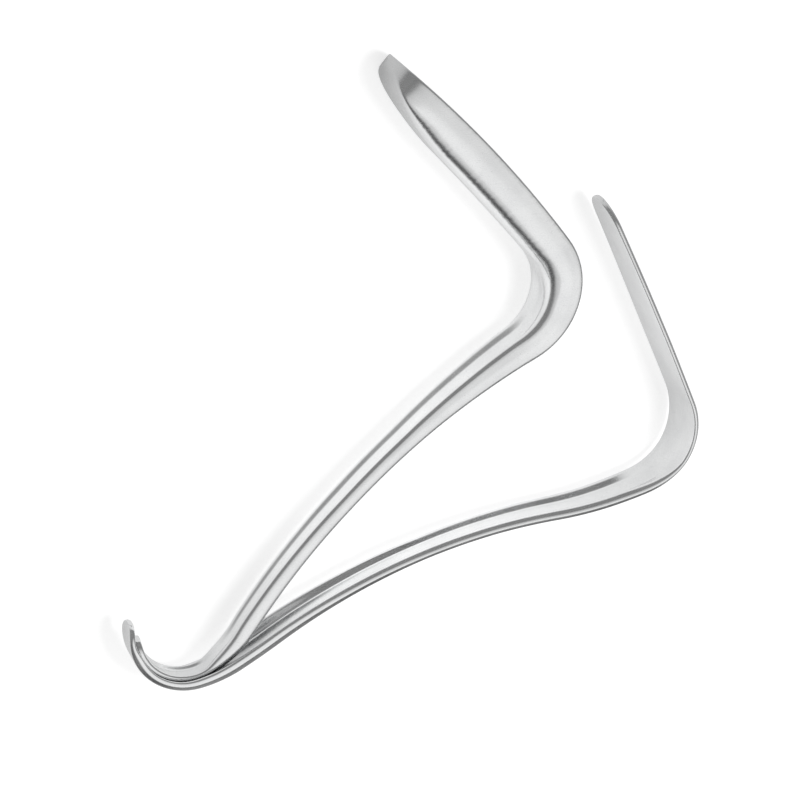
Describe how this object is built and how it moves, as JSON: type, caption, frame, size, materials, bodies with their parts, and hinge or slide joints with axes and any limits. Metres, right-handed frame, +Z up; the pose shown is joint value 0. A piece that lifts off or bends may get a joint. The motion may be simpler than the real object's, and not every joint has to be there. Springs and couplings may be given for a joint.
{
  "type": "vaginal speculum",
  "caption": "Two-piece retractor vaginal speculum: a trough blade and a flat blade on curved handles whose hooks nest and pivot together.",
  "frame": {"origin": "under the middle of the bounding box, on the surface that the speculum lies on", "axes": "+Z up, across the blades' width and along the hinge axis; +Y roughly from the hooks to the tip of the lower blade; +X from the hooks to the heel of the upper blade"},
  "size_m": [0.1972, 0.2096, 0.03],
  "materials": {
    "lower_steel": "satin",
    "upper_steel": "satin"
  },
  "bodies": {
    "lower_blade": {"lower_blade": "lower_steel"},
    "upper_blade": {"upper_blade": "upper_steel"}
  },
  "joints": [
    {"name": "hook_swing", "type": "hinge", "parent": "lower_blade", "child": "upper_blade", "pos_m": [-0.07815, -0.08445, 0.015], "axis": [0, 0, 1], "range_deg": [-25, 20]}
  ]
}
